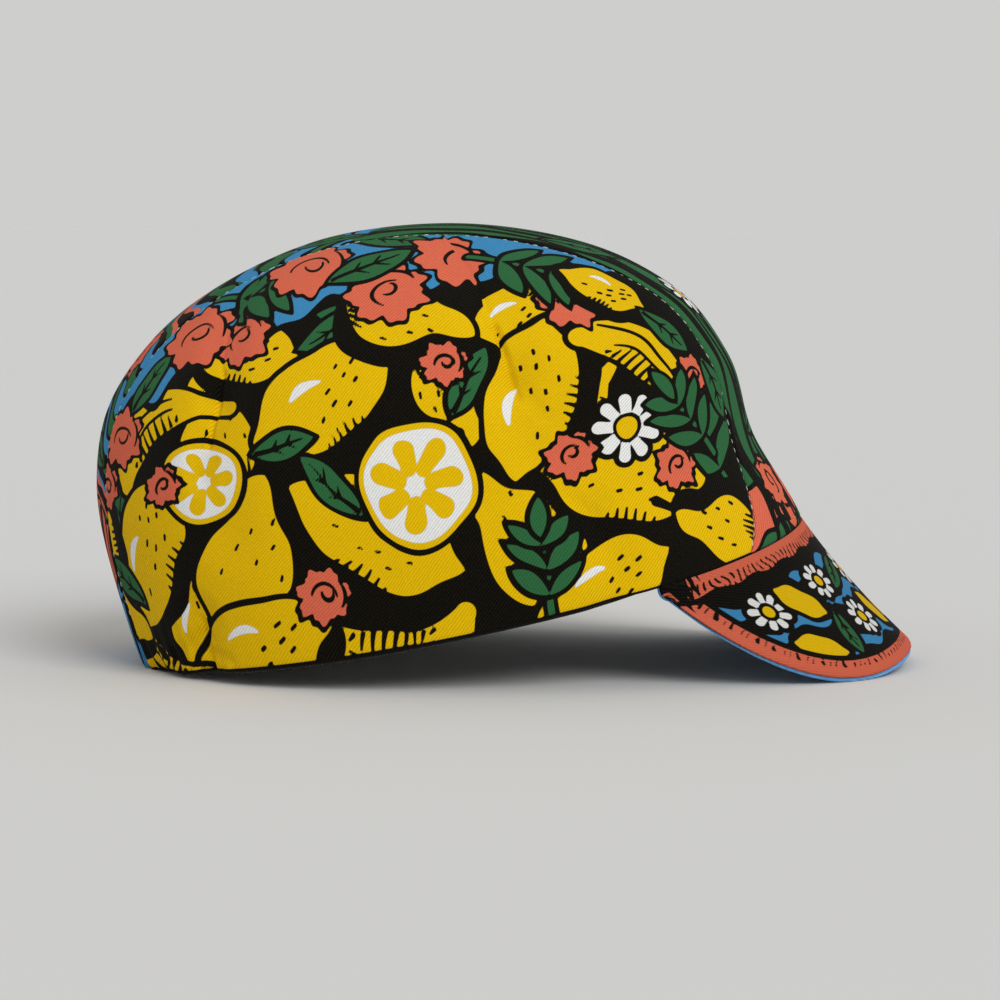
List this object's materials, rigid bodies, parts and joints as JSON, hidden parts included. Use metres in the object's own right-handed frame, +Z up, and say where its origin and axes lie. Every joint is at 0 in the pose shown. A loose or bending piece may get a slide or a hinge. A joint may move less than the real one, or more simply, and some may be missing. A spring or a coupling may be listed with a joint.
{
  "type": "cycling cap",
  "caption": "Soft printed cloth cycling cap: a rounded panelled crown, open below, with a black sweatband and a short turned-down peak.",
  "frame": {"origin": "centre of the bounding box's bottom: on the table, below the cap's middle", "axes": "+Z up from the table, -Y towards the peak, -X towards the wearer's right side"},
  "size_m": [0.1614, 0.244, 0.1303],
  "materials": {
    "centre_cloth": "printed twill, matte",
    "side_cloth": "printed twill, matte",
    "band_cloth": "soft tape, matte",
    "peak_cloth": "printed twill, matte",
    "underside_cloth": "printed twill, matte"
  },
  "bodies": {
    "root": {"centre_panel": "centre_cloth", "side_panel_right": "side_cloth", "side_panel_left": "side_cloth", "sweatband": "band_cloth", "peak_top": "peak_cloth", "peak_underside": "underside_cloth"}
  },
  "joints": []
}
